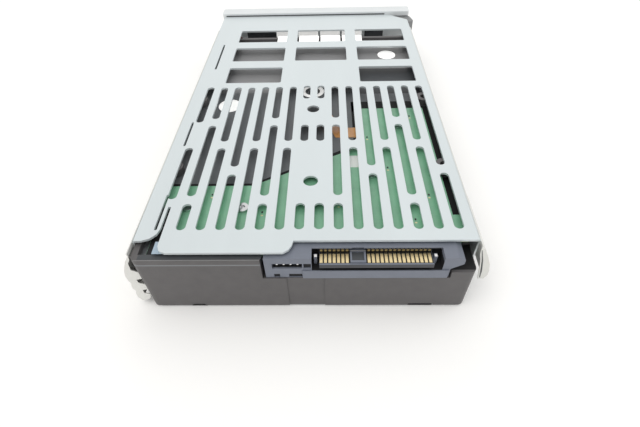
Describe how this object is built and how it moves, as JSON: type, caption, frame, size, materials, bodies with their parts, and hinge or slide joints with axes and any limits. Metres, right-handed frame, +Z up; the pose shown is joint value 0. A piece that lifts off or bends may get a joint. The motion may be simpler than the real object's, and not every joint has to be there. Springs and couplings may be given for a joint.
{
  "type": "hard disk drive",
  "caption": "3.5-inch hard disk drive in a hot-swap carrier, board side up, slotted steel plate, bowed side springs and an ejector lever; disks, heads, lever and button move.",
  "frame": {"origin": "centre of the bottom of the overall bounding box, on the surface it lies on", "axes": "+X to the right seen from the connector end, +Y from the connector end to the bezel, +Z up from the cover side to the board side"},
  "size_m": [0.1124, 0.184, 0.0284],
  "materials": {
    "plated_steel": "zinc plated sheet, satin",
    "spring_steel": "thin polished strip",
    "cast_alloy": "dark coated aluminium casting, matte",
    "cover_steel": "satin cover sheet",
    "label_paper": "plain white label film",
    "gasket_rubber": "soft black",
    "screw_steel": "bright plated",
    "machined_alloy": "turned, bright",
    "magnet": "nickel plated magnet",
    "core_steel": "laminated steel",
    "copper": "enamelled copper wire",
    "disk_mirror": "polished disk",
    "ramp_plastic": "natural low-friction plastic",
    "filter_cloth": "white felt",
    "board": "green solder mask",
    "chip": "black moulded packages",
    "connector_plastic": "grey-blue moulded plastic",
    "gold": "gold plated contacts",
    "flex": "orange polyimide film",
    "film": "pale translucent film",
    "bezel_plastic": "light grey moulded plastic",
    "lever_plastic": "dark grey moulded plastic",
    "button_plastic": "dark red moulded plastic",
    "clear_plastic": "clear acrylic"
  },
  "bodies": {
    "chassis": {"carrier_plate": "plated_steel", "side_rail_left": "plated_steel", "side_rail_right": "plated_steel", "spring_left": "spring_steel", "spring_right": "spring_steel", "carrier_screws": "screw_steel", "insulation_film": "film", "bezel_frame": "bezel_plastic", "bezel_grille": "plated_steel", "lever_pin": "screw_steel", "light_pipes": "clear_plastic", "button_spring": "spring_steel", "base_casting": "cast_alloy", "top_cover": "cover_steel", "cover_label": "label_paper", "cover_gasket": "gasket_rubber", "cover_screws": "screw_steel", "breather_filter": "filter_cloth", "motor_base": "machined_alloy", "spindle_shaft": "screw_steel", "stator_core": "core_steel", "stator_windings": "copper", "pivot_post": "screw_steel", "upper_yoke": "core_steel", "lower_yoke": "core_steel", "upper_magnet": "magnet", "lower_magnet": "magnet", "yoke_posts": "core_steel", "crash_stops": "gasket_rubber", "load_ramp": "ramp_plastic", "latch_pin": "screw_steel", "head_connector": "chip", "actuator_flex": "flex", "recirculation_filter": "filter_cloth", "desiccant": "filter_cloth", "circuit_board": "board", "board_screws": "screw_steel", "board_parts": "chip", "motor_flex": "flex", "stickers": "label_paper", "connector_housing": "connector_plastic", "connector_contacts": "gold", "header_pins": "gold"},
    "spindle": {"spindle_hub": "machined_alloy", "rotor_magnet": "magnet", "disk_upper": "disk_mirror", "disk_middle": "disk_mirror", "disk_lower": "disk_mirror", "disk_spacers": "machined_alloy", "disk_clamp": "machined_alloy", "clamp_screws": "screw_steel"},
    "actuator": {"pivot_sleeve": "machined_alloy", "actuator_block": "machined_alloy", "voice_coil": "copper", "suspensions": "spring_steel", "sliders": "chip"},
    "latch": {"shipping_latch": "ramp_plastic"},
    "lever": {"ejector_lever": "lever_plastic"},
    "button": {"release_button": "button_plastic"}
  },
  "joints": [
    {"name": "spindle_spin", "type": "hinge", "parent": "chassis", "child": "spindle", "pos_m": [-0.0004, 0.004, 0.013], "axis": [0, 0, -1], "continuous": true},
    {"name": "actuator_swing", "type": "hinge", "parent": "chassis", "child": "actuator", "pos_m": [0.0156, -0.05, 0.013], "axis": [0, 0, -1], "range_deg": [0, 33]},
    {"name": "latch_swing", "type": "hinge", "parent": "chassis", "child": "latch", "pos_m": [0.0356, -0.039, 0.0137], "axis": [0, 0, 1], "range_deg": [0, 15]},
    {"name": "lever_swing", "type": "hinge", "parent": "chassis", "child": "lever", "pos_m": [0.045, 0.0826, 0.014], "axis": [0, 0, -1], "range_deg": [0, 45]},
    {"name": "button_press", "type": "slide", "parent": "chassis", "child": "button", "axis": [0, -1, 0], "range_m": [0, 0.0018], "stiffness_N_per_m": 400, "springref_m": -0.001, "deforming": ["button_spring"]}
  ]
}
